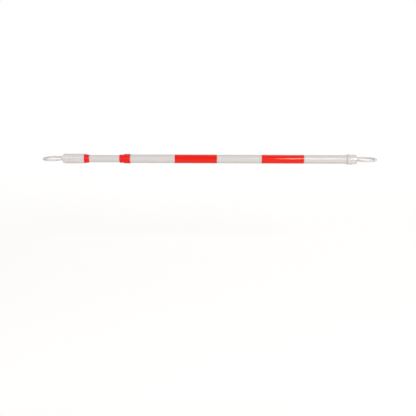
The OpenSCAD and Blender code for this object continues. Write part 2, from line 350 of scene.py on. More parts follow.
@dataclass(frozen=True)
class TubeFinish:
    """White extruded plastic tube, with die streaks, scuffs and dust that gathers at its fittings."""

    name: str
    base: Colour = colour(219, 214, 211)
    streak: Colour = colour(209, 205, 201)
    dust: Colour = colour(176, 170, 163)
    streak_scale: Triple = (1.4, 1300.0, 1300.0)
    streak_levels: Range = (0.35, 0.75)
    streak_share: float = 0.4
    streak_relief: float = 0.004 * MM
    cloud_scale: Triple = (9.0, 30.0, 30.0)
    scuff_scale: Triple = (26.0, 210.0, 210.0)
    scuff_share: float = 0.35
    scuff_depth: float = 0.8
    slide_scale: Triple = (2.2, 520.0, 520.0)
    slide_marks: float = 0.0
    speck_scale: float = 900.0
    speck_levels: Range = (0.74, 0.8)
    speck_patches: Range = (0.5, 0.7)
    speck_share: float = 0.5
    dust_at: tuple[float, ...] = ()
    dust_reach: float = 9 * MM
    dust_share: Range = (0.12, 0.5)
    gloss: Range = (0.12, 0.2)
    dulled: float = 0.25
    specular: float = 0.2

    def material(self) -> Material:
        """Makes the tube's material.

        Returns:
            The material.
        """
        graph = Graph(self.name)
        streaks = graph.noise(self.streak_scale, rough=0.6)
        clouds = graph.noise(self.cloud_scale)
        scuffs = graph.hairlines(self.scuff_scale, width=0.011, kept=0.56)
        slides = graph.hairlines(self.slide_scale, width=0.014, kept=0.46)
        scuffs = graph.larger(scuffs, graph.times(slides, self.slide_marks))
        specks = graph.ramp(graph.noise(self.speck_scale, detail=1.0), *self.speck_levels)
        worn = graph.times(specks, graph.ramp(clouds, *self.speck_patches, end=self.speck_share))
        gathered = graph.near(self.dust_at, self.dust_reach)
        gathered = graph.times(gathered, graph.ramp(clouds, *SOFT, *self.dust_share))
        streaky = graph.ramp(streaks, *self.streak_levels, end=self.streak_share)
        tone = graph.mix(streaky, self.base, self.streak)
        for share in (graph.times(scuffs, self.scuff_share), worn, gathered):
            tone = graph.mix(share, tone, self.dust)
        gloss = graph.ramp(clouds, *WIDE, *self.gloss)
        rubbed = graph.times(graph.larger(scuffs, gathered), self.dulled)
        relief = graph.minus(streaks, graph.times(scuffs, self.scuff_depth))
        return graph.surface(
            Base_Color=tone,
            Roughness=graph.plus(gloss, rubbed),
            Normal=graph.bump(relief, self.streak_relief),
            IOR=1.5,
            Specular_IOR_Level=self.specular,
        )


@dataclass(frozen=True)
class FilmFinish:
    """Red reflective film: small honeycomb cells under a clear smooth face."""

    name: str
    base: Colour = colour(239, 3, 3)
    cell: Colour = colour(228, 3, 3)
    wall: Colour = colour(245, 58, 51)
    scuff: Colour = colour(214, 80, 74)
    film_r: float = 20.35 * MM
    cell_pitch: float = 3.6 * MM
    wall_levels: Range = (-0.9, -1.4)
    wall_share: float = 0.45
    wall_sunk: float = 0.002 * MM
    heart_levels: Range = (1.2, 2.8)
    heart_share: float = 0.3
    cloud_scale: Triple = (14.0, 40.0, 40.0)
    cloud_share: float = 0.25
    scuff_scale: Triple = (40.0, 160.0, 160.0)
    scuff_share: float = 0.3
    ends: tuple[float, ...] = ()
    end_reach: float = 1.6 * MM
    end_share: float = 0.22
    gloss: Range = (0.06, 0.09)
    dulled: float = 0.2
    specular: float = 0.37
    shine: Colour = (1.0, 0.9, 0.6, 1.0)

    def honeycomb(self, graph: Graph) -> Socket:
        """Adds three crossed waves round the tube, which together are highest in the heart of each cell.

        Args:
            graph: The film's graph.

        Returns:
            The sum of the waves.
        """
        along, across, up = graph.axes()
        around = graph.times(graph.math("ARCTAN2", up, across), self.film_r)
        turn = 2 * math.pi / self.cell_pitch
        waves: Value = 0.0
        for angle in (0.0, math.pi / 3, 2 * math.pi / 3):
            phase = graph.plus(
                graph.times(along, turn * math.cos(angle)), graph.times(around, turn * math.sin(angle))
            )
            waves = graph.plus(waves, graph.math("COSINE", phase))
        return waves

    def material(self) -> Material:
        """Makes the film's material.

        Returns:
            The material.
        """
        graph = Graph(self.name)
        waves = self.honeycomb(graph)
        walls = graph.ramp(waves, *self.wall_levels)
        heart = graph.ramp(waves, *self.heart_levels)
        clouds = graph.noise(self.cloud_scale)
        scuffs = graph.hairlines(self.scuff_scale, width=0.012, kept=0.55)
        ends = graph.near(self.ends, self.end_reach)
        tone = graph.mix(graph.ramp(clouds, *SOFT, end=self.cloud_share), self.base, self.cell)
        for mask, share, over in (
            (heart, self.heart_share, self.cell),
            (walls, self.wall_share, self.wall),
            (scuffs, self.scuff_share, self.scuff),
            (ends, self.end_share, self.scuff),
        ):
            tone = graph.mix(graph.times(mask, share), tone, over)
        gloss = graph.ramp(clouds, *WIDE, *self.gloss)
        return graph.surface(
            Base_Color=tone,
            Roughness=graph.plus(gloss, graph.times(scuffs, self.dulled)),
            Normal=graph.bump(graph.minus(1.0, walls), self.wall_sunk),
            IOR=1.5,
            Specular_IOR_Level=self.specular,
            Specular_Tint=self.shine,
        )


@dataclass(frozen=True)
class MilkyFinish:
    """Milky moulded plastic that lets in some light, scuffed on edges and rubbed in the ring's bore."""

    name: str
    base: Colour = colour(224, 218, 216)
    cloud: Colour = colour(214, 208, 205)
    rubbed: Colour = colour(190, 184, 178)
    cloud_scale: float = 26.0
    cloud_levels: Range = (0.3, 0.72)
    cloud_share: float = 0.7
    flow_scale: Triple = (18.0, 90.0, 60.0)
    flow_shift: Triple = (1.3, 4.2, 2.2)
    flow_levels: Range = (0.52, 0.75)
    flow_share: float = 0.22
    grain_scale: float = 1900.0
    grain_relief: float = 0.012 * MM
    scuff_scale: Triple = (120.0, 160.0, 140.0)
    scuff_share: float = 0.4
    edge: float = 0.7 * MM
    edge_share: float = 0.2
    bore_x: float = 0.0
    bore_r: float = 44 * MM
    rub_scale: Triple = (140.0, 140.0, 900.0)
    rub_levels: Range = (0.4, 0.62)
    rub_depth: float = 1.6 * MM
    rub_share: Range = (0.08, 0.5)
    gloss: Range = (0.2, 0.32)
    dulled: float = 0.4
    light_share: float = 0.35
    light_depth: float = 3.5 * MM
    light_tint: Triple = (1.0, 0.92, 0.88)

    def material(self) -> Material:
        """Makes the milky plastic's material.

        Returns:
            The material.
        """
        graph = Graph(self.name)
        clouds = graph.noise(self.cloud_scale)
        flow = graph.noise(self.flow_scale, detail=2.0, shift=self.flow_shift)
        grain = graph.noise(self.grain_scale, detail=2.0, rough=0.7)
        scuffs = graph.hairlines(self.scuff_scale, width=0.012, kept=0.54)
        normal, sharp = graph.soft_edges(self.edge)
        cloudy = graph.ramp(clouds, *self.cloud_levels, end=self.cloud_share)
        tone = graph.mix(cloudy, self.base, self.cloud)
        tone = graph.mix(graph.ramp(flow, *self.flow_levels, end=self.flow_share), tone, self.cloud)
        along, across, _ = graph.axes()
        from_axis = graph.radius(graph.minus(along, self.bore_x), across)
        inside = graph.ramp(from_axis, self.bore_r, self.bore_r + self.rub_depth, 1.0, 0.0)
        streaky = graph.ramp(graph.noise(self.rub_scale), *self.rub_levels, *self.rub_share)
        marks = graph.larger(graph.times(scuffs, self.scuff_share), graph.times(sharp, self.edge_share))
        marks = graph.larger(marks, graph.times(inside, streaky))
        gloss = graph.ramp(clouds, *WIDE, *self.gloss)
        return graph.surface(
            Base_Color=graph.mix(marks, tone, self.rubbed),
            Roughness=graph.plus(gloss, graph.times(marks, self.dulled)),
            Normal=graph.bump(graph.plus(grain, flow), self.grain_relief, normal),
            IOR=1.49,
            Subsurface_Weight=self.light_share,
            Subsurface_Radius=self.light_tint,
            Subsurface_Scale=self.light_depth,
        )


@dataclass(frozen=True)
class RedFinish:
    """Glossy red moulded plastic, paler where hands have rubbed its edges, with dirt in its flutes."""

    name: str
    flute_x: float
    flute_run: Range
    flute_r: Range
    flute_fall: float = 0.0
    base: Colour = colour(243, 12, 11)
    deep: Colour = colour(234, 9, 10)
    rubbed: Colour = colour(238, 88, 78)
    dirt: Colour = colour(120, 24, 22)
    cloud_scale: float = 60.0
    cloud_share: float = 0.6
    grain_scale: float = 2300.0
    grain_relief: float = 0.012 * MM
    scuff_scale: Triple = (150.0, 240.0, 240.0)
    scuff_share: float = 0.35
    edge: float = 0.35 * MM
    edge_share: float = 0.3
    dirt_share: Range = (0.1, 0.32)
    dirt_fade: float = 1 * MM
    gloss: Range = (0.21, 0.33)
    dulled: float = 0.45
    specular: float = 0.3

    def settled(self, graph: Graph, clouds: Socket) -> Socket:
        """Adds a mask of the dirt in the flutes.

        Args:
            graph: The plastic's graph.
            clouds: Noise that the dirt follows.

        Returns:
            A mask from 0 to 1.
        """
        along, across, up = graph.axes()
        past = graph.apart(along, self.flute_x)
        level = graph.plus(graph.radius(across, up), graph.times(past, self.flute_fall))
        low = graph.ramp(level, *self.flute_r, 1.0, 0.0)
        start, end = self.flute_run
        rise = graph.ramp(past, start, start + self.dirt_fade)
        fall = graph.ramp(past, end - self.dirt_fade, end, 1.0, 0.0)
        dirty = graph.times(low, graph.ramp(clouds, *SOFT, *self.dirt_share))
        return graph.times(dirty, graph.times(rise, fall))

    def material(self) -> Material:
        """Makes the red plastic's material.

        Returns:
            The material.
        """
        graph = Graph(self.name)
        clouds = graph.noise(self.cloud_scale)
        grain = graph.noise(self.grain_scale, detail=2.0, rough=0.7)
        scuffs = graph.hairlines(self.scuff_scale, width=0.014, kept=0.52)
        normal, sharp = graph.soft_edges(self.edge)
        dirty = self.settled(graph, clouds)
        marks = graph.larger(graph.times(scuffs, self.scuff_share), graph.times(sharp, self.edge_share))
        tone = graph.mix(graph.ramp(clouds, *SOFT, end=self.cloud_share), self.base, self.deep)
        tone = graph.mix(marks, tone, self.rubbed)
        gloss = graph.ramp(clouds, *WIDE, *self.gloss)
        return graph.surface(
            Base_Color=graph.mix(dirty, tone, self.dirt),
            Roughness=graph.plus(gloss, graph.times(graph.plus(marks, dirty), self.dulled)),
            Normal=graph.bump(grain, self.grain_relief, normal),
            IOR=1.5,
            Specular_IOR_Level=self.specular,
        )


@dataclass(frozen=True)
class InnerFinish:
    """Ivory moulded plastic of the hidden plugs, bushes and grip rings, polished where they slide."""

    name: str
    base: Colour = colour(226, 221, 204)
    cloud: Colour = colour(212, 206, 186)
    polish: Colour = colour(196, 190, 174)
    cloud_scale: float = 70.0
    rub_scale: Triple = (20.0, 700.0, 700.0)
    rub_levels: Range = (0.55, 0.75)
    rub_share: float = 0.35
    rub_relief: float = 0.008 * MM
    edge: float = 0.3 * MM
    edge_share: float = 0.2
    gloss_levels: Range = (0.3, 0.75)
    gloss: Range = (0.48, 0.3)

    def material(self) -> Material:
        """Makes the ivory plastic's material.

        Returns:
            The material.
        """
        graph = Graph(self.name)
        clouds = graph.noise(self.cloud_scale)
        rubs = graph.noise(self.rub_scale, rough=0.6)
        normal, sharp = graph.soft_edges(self.edge)
        tone = graph.mix(graph.ramp(clouds, *SOFT), self.base, self.cloud)
        tone = graph.mix(graph.ramp(rubs, *self.rub_levels, end=self.rub_share), tone, self.polish)
        return graph.surface(
            Base_Color=graph.mix(graph.times(sharp, self.edge_share), tone, self.polish),
            Roughness=graph.ramp(rubs, *self.gloss_levels, *self.gloss),
            Normal=graph.bump(rubs, self.rub_relief, normal),
            IOR=1.49,
        )


@dataclass(frozen=True)
class ZincFinish:
    """Bright zinc plating with faint cloudy grain and brighter edges."""

    name: str
    base: Colour = colour(196, 198, 202)
    dull: Colour = colour(150, 152, 156)
    cloud_scale: float = 900.0
    cloud_levels: Range = (0.35, 0.7)
    grain_scale: float = 3200.0
    grain_relief: float = 0.004 * MM
    edge: float = 0.12 * MM
    edge_share: float = 0.4
    gloss_levels: Range = (0.3, 0.75)
    gloss: Range = (0.26, 0.46)

    def material(self) -> Material:
        """Makes the zinc's material.

        Returns:
            The material.
        """
        graph = Graph(self.name)
        clouds = graph.noise(self.cloud_scale, detail=4.0, rough=0.65)
        grain = graph.noise(self.grain_scale, detail=1.0)
        normal, sharp = graph.soft_edges(self.edge)
        tone = graph.mix(graph.ramp(clouds, *self.cloud_levels), self.base, self.dull)
        return graph.surface(
            Base_Color=graph.mix(graph.times(sharp, self.edge_share), tone, self.base),
            Metallic=1.0,
            Roughness=graph.ramp(clouds, *self.gloss_levels, *self.gloss),
            Normal=graph.bump(grain, self.grain_relief, normal),
        )


class Bench:
    """Hand modelling steps on one mesh at a time."""

    @staticmethod
    def clear() -> None:
        """Leaves edit mode and deselects everything."""
        if bpy.context.mode != "OBJECT":
            bpy.ops.object.mode_set(mode="OBJECT")
        bpy.ops.object.select_all(action="DESELECT")

    @staticmethod
    def take(*pieces: Piece) -> None:
        """Selects some pieces and no others, the first of them active.

        Args:
            pieces: The pieces.
        """
        Bench.clear()
        for piece in pieces:
            piece.select_set(True)
        bpy.context.view_layer.objects.active = pieces[0]

    @staticmethod
    def settle() -> Piece:
        """Puts the place of the active piece into its mesh, and returns the piece."""
        bpy.ops.object.transform_apply(location=True, rotation=True, scale=True)
        return bpy.context.view_layer.objects.active

    @staticmethod
    def edit(piece: Piece) -> None:
        """Opens a piece alone in edit mode, with nothing selected in it.

        Args:
            piece: The piece to open.
        """
        Bench.take(piece)
        bpy.ops.object.mode_set(mode="EDIT")
        bpy.ops.mesh.select_all(action="DESELECT")

    @staticmethod
    def pick(kind: Pick, wanted: Callable[[Element], bool]) -> None:
        """Selects the elements of the open mesh that pass a test, and no others.

        Args:
            kind: What to select.
            wanted: The test.
        """
        bpy.ops.mesh.select_mode(type=kind.value)
        bpy.ops.mesh.select_all(action="DESELECT")
        mesh = bpy.context.edit_object.data
        net = bmesh.from_edit_mesh(mesh)
        for element in net.faces if kind is Pick.FACES else net.edges:
            element.select_set(wanted(element))
        bmesh.update_edit_mesh(mesh)

    @staticmethod
    def pick_rim(axis: int, level: float) -> None:
        """Selects the edges of the open mesh that lie at one level of an axis.

        Args:
            axis: 0 for X, 1 for Y or 2 for Z.
            level: The level.
        """

        def lies_there(edge: Element) -> bool:
            """Tells whether both ends of an edge are at the level."""
            return all(abs(vert.co[axis] - level) < TOUCH for vert in edge.verts)

        Bench.pick(Pick.EDGES, lies_there)

    @staticmethod
    def extrude(step: Vector) -> None:
        """Extrudes what is selected in the open mesh by a step."""
        bpy.ops.mesh.extrude_region_move(TRANSFORM_OT_translate={"value": step})

    @staticmethod
    def place(piece: Piece, matrix: Matrix) -> None:
        """Moves a piece and puts its place into its mesh.

        Args:
            piece: The piece.
            matrix: Where it goes.
        """
        Bench.take(piece)
        piece.matrix_world = matrix @ piece.matrix_world
        Bench.settle()

    @staticmethod
    def copy(piece: Piece) -> Piece:
        """Copies a piece, with a mesh of its own.

        Args:
            piece: The piece.

        Returns:
            The copy.
        """
        Bench.take(piece)
        bpy.ops.object.duplicate(linked=False)
        return bpy.context.view_layer.objects.active

    @staticmethod
    def apply(piece: Piece, kind: str, **settings: object) -> None:
        """Adds a modifier and applies it.

        Args:
            piece: The piece.
            kind: The modifier's type.
            settings: Its properties.
        """
        Bench.take(piece)
        modifier = piece.modifiers.new(kind.title(), kind)
        for key, value in settings.items():
            setattr(modifier, key, value)
        bpy.ops.object.modifier_apply(modifier=modifier.name)

    @staticmethod
    def close(piece: Piece, name: str, smooth_deg: float = 35.0) -> Piece:
        """Merges doubles, turns the faces outwards, smooths the shading and names the piece.

        Args:
            piece: The piece.
            name: Its name.
            smooth_deg: Angle below which faces are shaded as one.

        Returns:
            The finished piece.
        """
        Bench.edit(piece)
        bpy.ops.mesh.select_all(action="SELECT")
        bpy.ops.mesh.remove_doubles(threshold=TOUCH)
        bpy.ops.mesh.normals_make_consistent(inside=False)
        Bench.take(piece)
        bpy.ops.object.shade_smooth_by_angle(angle=math.radians(smooth_deg))
        piece.name = piece.data.name = name
        return piece


def seat(piece: Piece, body: Body, finish: Material) -> None:
    """Gives a new piece its finish and lets it ride on a body.

    Args:
        piece: The piece.
        body: The body that carries it.
        finish: Its material.
    """
    piece.data.materials.clear()
    piece.data.materials.append(finish)
    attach(piece, body.value)
    log.info("%s: %d faces, rides on %s", piece.name, len(piece.data.polygons), body.value)


def dress(finish: Material, *nodes: str) -> None:
    """Gives solids of the frame a finish.

    Args:
        finish: The material.
        nodes: The solids' names.
    """
    for node in nodes:
        solid = frame["nodes"][node]
        solid.data.materials.clear()
        solid.data.materials.append(finish)
        log.info("%s: dressed in %s", node, finish.name)


@dataclass(frozen=True)
class MouldLine:
    """Fine ridge that is left where a mould's halves met."""

    width: float
    proud: float
    sunk: float

    def start(self, place: Vector, inward: Vector) -> Piece:
        """Makes the ridge's cross-section as an open rectangle in edit mode, all selected.

        Args:
            place: Point of the moulding's surface where the line starts.
            inward: Direction from that point into the moulding, along X or Y.

        Returns:
            The new piece.
        """
        Bench.clear()
        along_x = abs(inward.x) > FACING
        turn = (math.pi / 2, 0.0, 0.0 if along_x else math.pi / 2)
        middle = place + inward * ((self.sunk - self.proud) / 2)
        bpy.ops.mesh.primitive_plane_add(size=1.0, location=middle, rotation=turn)
        piece = Bench.settle()
        Bench.edit(piece)
        bpy.ops.mesh.select_all(action="SELECT")
        deep = self.proud + self.sunk
        size = (deep, 1.0, self.width) if along_x else (1.0, deep, self.width)
        bpy.ops.transform.resize(value=size, center_override=middle)
        bpy.ops.mesh.delete(type="ONLY_FACE")
        bpy.ops.mesh.select_mode(type="EDGE")
        bpy.ops.mesh.select_all(action="SELECT")
        return piece


@dataclass
class RingMoulding:
    """A flat ring with a sleeve, moulded in one piece: its finish and the marks that its mould leaves."""

    node: str
    body: Body
    mount: str
    way: Along
    mouth_plain: float
    bead: float = 0.0
    half_height: float = 4.5 * MM
    root_fillet: float = 12 * MM
    line: MouldLine = MouldLine(width=0.45 * MM, proud=0.14 * MM, sunk=0.3 * MM)
    ring_steps: int = 56
    fillet_steps: int = 10
    mirror_merge: float = 0.01 * MM
    gate_r: float = 1.7 * MM
    gate_proud: float = 0.35 * MM
    gate_sides: int = 28
    gate_insets: Range = (0.28, 0.3)
    gate_dish: float = 0.5
    stub_height: float = 0.7
    stub_squeeze: Triple = (1.0, 0.7, 0.55)
    gate_round: float = 0.25
    pin_r: float = 1.5 * MM
    pin_proud: float = 0.12 * MM
    pin_sides: int = 24
    pin_insets: Range = (0.12, 0.1)
    pin_dish: float = 0.7
    pin_round: float = 0.2
    pin_angles: tuple[int, ...] = (50, 95, 140, 220, 265, 310)

    def __post_init__(self) -> None:
        """Reads the ring's place and sizes from the frame."""
        low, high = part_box(self.node)
        mounts = {mount["name"]: mount for mount in frame["record"]["mounts"]}
        self.centre = Vector(mounts[self.mount]["pos_m"])
        self.bore_r: float = mounts[self.mount]["dims"]["r_mm"] * MM
        self.outer_r: float = (high.y - low.y) / 2
        self.sleeve_r: float = (high.z - low.z) / 2 - self.bead
        self.mouth: float = high.x - low.x - self.outer_r

    def point(self, along: float, across: float = 0.0) -> Vector:
        """Returns the point at a distance from the ring's centre along the sleeve and along +Y."""
        return self.centre + Vector((along * self.way.value, across, 0.0))

    def build_mould_line(self) -> Piece:
        """Makes the fine line where the mould's halves met, round the ring and along the sleeve's sides.

        Returns:
            The finished line.
        """
        turn = self.way.value
        fillet_y = self.sleeve_r + self.root_fillet
        fillet_x = math.sqrt((self.outer_r + self.root_fillet) ** 2 - fillet_y**2)
        meet = math.atan2(fillet_y, fillet_x)
        piece = self.line.start(self.point(-self.outer_r), Vector((turn, 0.0, 0.0)))
        for steps, angle, centre in (
            (self.ring_steps, turn * (math.pi - meet), self.centre),
            (self.fillet_steps, -turn * (math.pi / 2 - meet), self.point(fillet_x, fillet_y)),
        ):
            bpy.ops.mesh.spin(steps=steps, dupli=False, angle=angle, center=centre, axis=(0.0, 0.0, 1.0))
        Bench.extrude(Vector(((self.mouth - self.mouth_plain - fillet_x) * turn, 0.0, 0.0)))
        bpy.ops.mesh.edge_face_add()
        Bench.apply(piece, "MIRROR", use_axis=(False, True, False), merge_threshold=self.mirror_merge)
        return Bench.close(piece, f"{self.node}_mould_line")

    def build_gate_mark(self) -> Piece:
        """Makes the trimmed stub of the gate, on the ring's edge opposite the sleeve.

        Returns:
            The finished mark.
        """
        Bench.clear()
        out = -self.way.value
        rim, stub = (self.gate_r * share for share in self.gate_insets)
        bpy.ops.mesh.primitive_cylinder_add(
            vertices=self.gate_sides,
            radius=self.gate_r,
            depth=self.gate_proud + self.line.sunk,
            location=self.point(-self.outer_r - (self.gate_proud - self.line.sunk) / 2),
            rotation=(0.0, math.pi / 2, 0.0),
        )
        piece = Bench.settle()
        Bench.edit(piece)
        Bench.pick(Pick.FACES, lambda face: face.normal.x * out > FACING)
        bpy.ops.mesh.inset(thickness=rim, depth=-self.gate_proud * self.gate_dish)
        bpy.ops.mesh.inset(thickness=stub, depth=0.0)
        Bench.extrude(Vector((out * self.gate_proud * self.stub_height, 0.0, 0.0)))
        bpy.ops.transform.resize(value=self.stub_squeeze)
        Bench.pick_rim(0, self.point(-self.outer_r - self.gate_proud).x)
        bpy.ops.mesh.bevel(offset=self.gate_proud * self.gate_round, segments=2, affect="EDGES")
        return Bench.close(piece, f"{self.node}_gate_mark")

    def build_pin_marks(self) -> Piece:
        """Makes the shallow dished marks that the mould's pins leave under the ring.

        Returns:
            The finished marks, as one piece.
        """
        Bench.clear()
        rim, wall = (self.pin_r * share for share in self.pin_insets)
        bpy.ops.mesh.primitive_cylinder_add(
            vertices=self.pin_sides,
            radius=self.pin_r,
            depth=self.pin_proud + self.line.sunk,
            location=(0.0, 0.0, -self.half_height + (self.line.sunk - self.pin_proud) / 2),
        )
        mark = Bench.settle()
        Bench.edit(mark)
        Bench.pick(Pick.FACES, lambda face: face.normal.z < -FACING)
        bpy.ops.mesh.inset(thickness=rim)
        bpy.ops.mesh.inset(thickness=wall, depth=-self.pin_proud * self.pin_dish)
        Bench.pick_rim(2, -self.half_height - self.pin_proud)
        bpy.ops.mesh.bevel(offset=self.pin_proud * self.pin_round, segments=1, affect="EDGES")
        marks = [mark] + [Bench.copy(mark) for _ in self.pin_angles[1:]]
        middle_r = (self.bore_r + self.outer_r) / 2
        for piece, angle in zip(marks, map(math.radians, self.pin_angles)):
            spot = self.point(middle_r * math.cos(angle), middle_r * math.sin(angle))
            Bench.place(piece, Matrix.Translation(spot))
        Bench.take(*marks)
        bpy.ops.object.join()
        return Bench.close(mark, f"{self.node}_pin_marks")

    def build(self) -> None:
        """Dresses the ring and adds its marks."""
        finish = MilkyFinish(f"milky_{self.node}", bore_x=self.centre.x, bore_r=self.bore_r).material()
        dress(finish, self.node)
        for piece in (self.build_mould_line(), self.build_gate_mark(), self.build_pin_marks()):
            seat(piece, self.body, finish)


@dataclass
class SocketScrews:
    """The two pan-head screws that hold the outer tube in the fixed ring's socket."""

    node: str = "socket_screws"
    length: float = 8.0 * MM
    shank_r: float = 1.9 * MM
    tip_length: float = 1.52 * MM
    tip_taper: float = 0.3
    head_height: float = 2.0 * MM
    head_round: float = 0.84 * MM
    head_sides: int = 40
    recess_length: float = 4.0 * MM
    recess_width: float = 0.95 * MM
    recess_depth: float = 1.25 * MM
    recess_taper: float = 0.55
    smooth_deg: float = 30.0

    def build_screw(self, head_r: float) -> Piece:
        """Makes one screw with its head up and its seat at the origin.

        Args:
            head_r: Radius of the head.

        Returns:
            The screw.
        """
        Bench.clear()
        height = self.head_height
        bpy.ops.mesh.primitive_cylinder_add(
            vertices=self.head_sides, radius=head_r, depth=height, location=(0.0, 0.0, height / 2)
        )
        screw = Bench.settle()
        Bench.edit(screw)
        Bench.pick_rim(2, height)
        bpy.ops.mesh.bevel(offset=self.head_round, segments=5, affect="EDGES")
        Bench.pick(Pick.FACES, lambda face: face.normal.z < -FACING)
        bpy.ops.mesh.inset(thickness=head_r - self.shank_r)
        Bench.extrude(Vector((0.0, 0.0, self.tip_length - self.length)))
        Bench.extrude(Vector((0.0, 0.0, -self.tip_length)))
        bpy.ops.transform.resize(value=(self.tip_taper, self.tip_taper, 1.0))
        for turn in (0.0, math.pi / 2):
            cutter = self.build_cutter(turn)
            Bench.apply(screw, "BOOLEAN", operation="DIFFERENCE", solver="EXACT", object=cutter)
            bpy.data.objects.remove(cutter)
        return Bench.close(screw, "socket_screw", self.smooth_deg)

    def build_cutter(self, turn: float) -> Piece:
        """Makes one arm of the cross recess, narrower at its bottom.

        Args:
            turn: Its turn about the screw's axis.

        Returns:
            The cutter.
        """
        Bench.clear()
        bpy.ops.mesh.primitive_cube_add(
            size=1.0,
            location=(0.0, 0.0, self.head_height),
            rotation=(0.0, 0.0, turn),
            scale=(self.recess_length, self.recess_width, 2 * self.recess_depth),
        )
        cutter = Bench.settle()
        Bench.edit(cutter)
        Bench.pick(Pick.FACES, lambda face: face.normal.z < -FACING)
        bpy.ops.transform.resize(value=(self.recess_taper, self.recess_taper, 1.0))
        Bench.clear()
        return cutter

    def build(self, finish: Material) -> None:
        """Makes both screws where the frame has them.

        Args:
            finish: The zinc.
        """
        low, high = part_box(self.node)
        below = self.build_screw((high.x - low.x) / 2)
        rear = Bench.copy(below)
        lift = Matrix.Translation(Vector((0.0, 0.0, high.y - self.head_height)))
        slide = Matrix.Translation(Vector(((low.x + high.x) / 2, 0.0, 0.0)))
        for piece, side, turn in ((below, "below", math.pi), (rear, "rear", -math.pi / 2)):
            Bench.place(piece, slide @ Matrix.Rotation(turn, 4, "X") @ lift)
            piece.name = piece.data.name = f"socket_screw_{side}"
            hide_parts(self.node)
            seat(piece, Body.TUBE, finish)


@dataclass
class TwistGrip(ABC):
    """A red part that is turned by hand: the lock's nut or the turning ring's collar."""

    node: str
    body: Body
    way: Along
    line: MouldLine = MouldLine(width=0.4 * MM, proud=0.12 * MM, sunk=0.25 * MM)

    @abstractmethod
    def outline(self) -> Outline:
        """Returns the grip's outline, as distances from its first edge with the radius at each."""

    @abstractmethod
    def finish(self) -> RedFinish:
        """Returns the grip's red plastic, with dirt where its flutes are."""

    def edge_x(self) -> float:
        """Returns the place of the grip's first edge on the X axis."""
        low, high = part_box(self.node)
        return low.x if self.way is Along.RIGHT else high.x

    def build_mould_lines(self) -> Piece:
        """Makes the two fine lines where the mould's halves met, along the front and the back.

        Returns:
            The finished lines, as one piece.
        """
        points = [Vector((self.edge_x() + along * self.way.value, r, 0.0)) for along, r in self.outline()]
        piece = self.line.start(points[0], Vector((0.0, -1.0, 0.0)))
        bpy.ops.mesh.edge_face_add()
        for point, following in zip(points, points[1:]):
            Bench.extrude(following - point)
        Bench.apply(piece, "MIRROR", use_axis=(False, True, False), use_mirror_merge=False)
        return Bench.close(piece, f"{self.node}_mould_lines")

    def build(self) -> None:
        """Dresses the grip and adds its mould lines."""
        finish = self.finish().material()
        dress(finish, self.node)
        seat(self.build_mould_lines(), self.body, finish)


@dataclass
class LockNut(TwistGrip):
    """The nut that locks the bar's length: a fluted grip, a short cone and a plain nose."""

    node: str = "lock_nut"
    body: Body = Body.NUT
    way: Along = Along.LEFT
    grip_r: float = 22.0 * MM
    nose_r: float = 19.2 * MM
    step_start: float = 28.3 * MM
    step_length: float = 3.0 * MM
    length: float = 49.3 * MM
    rim: float = 1.0 * MM
    dirt_r: Range = (21.32 * MM, 21.8 * MM)

    def outline(self) -> Outline:
        """Returns the nut's outline from its skirt to its nose."""
        return (
            (self.rim, self.grip_r),
            (self.step_start, self.grip_r),
            (self.step_start + self.step_length, self.nose_r),
            (self.length - self.rim, self.nose_r),
        )

    def finish(self) -> RedFinish:
        """Returns the nut's red plastic, with dirt in the straight flutes of its grip."""
        return RedFinish("red_lock_nut", self.edge_x(), (2 * self.rim, self.step_start), self.dirt_r)


@dataclass
class RingCollar(TwistGrip):
    """The collar that locks the turning ring: a plain rim beside the sleeve and a fluted cone."""

    node: str = "ring_collar"
    body: Body = Body.COLLAR
    way: Along = Along.RIGHT
    rim_start: float = 14.5 * MM
    rim_end: float = 18.0 * MM
    rim_r: float = 21.0 * MM
    thin_end: float = 36.8 * MM
    thin_r: float = 17.85 * MM
    dirt_r: Range = (20.34 * MM, 20.85 * MM)

    def outline(self) -> Outline:
        """Returns the outline of the collar's part outside the sleeve."""
        return ((self.rim_start, self.rim_r), (self.rim_end, self.rim_r), (self.thin_end, self.thin_r))

    def finish(self) -> RedFinish:
        """Makes the collar's red plastic, with dirt in the flutes that run down its cone.

        Returns:
            The finish.
        """
        run = self.thin_end - self.rim_end
        fall = (self.rim_r - self.thin_r) / run
        start = self.edge_x() + self.rim_end * self.way.value
        return RedFinish("red_ring_collar", start, (0.0, run), self.dirt_r, fall)


@dataclass
class Tubes:
    """The striped outer tube with its film, the inner tube, and the small pieces inside them."""

    film_nodes: tuple[str, ...] = ("red_band_ring_side", "red_band_lock_side")
    inner_nodes: tuple[str, ...] = (
        "lock_ferrule",
        "lock_grip_ring",
        "guide_plug",
        "guide_bush",
        "ring_end_plug",
        "ring_bush",
        "ring_grip_ring",
    )
    inner_gloss: Range = (0.21, 0.29)
    slide_marks: float = 0.8

    def build(self, zinc: Material) -> None:
        """Dresses both tubes, the film and what is inside.

        Args:
            zinc: The finish of the rivets.
        """
        socket_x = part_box("fixed_ring")[0].x
        nut_low, nut_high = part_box("lock_nut")
        collar_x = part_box("ring_collar")[1].x
        film_ends = tuple(corner.x for node in self.film_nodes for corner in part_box(node))
        outer = TubeFinish("white_outer_tube", dust_at=(socket_x, nut_high.x, *film_ends))
        inner = TubeFinish(
            "white_inner_tube",
            dust_at=(nut_low.x, collar_x),
            slide_marks=self.slide_marks,
            gloss=self.inner_gloss,
        )
        dress(outer.material(), "outer_tube")
        dress(inner.material(), "inner_tube")
        dress(FilmFinish("red_film", ends=film_ends).material(), *self.film_nodes)
        dress(InnerFinish("ivory_plastic").material(), *self.inner_nodes)
        dress(zinc, "bush_rivets")


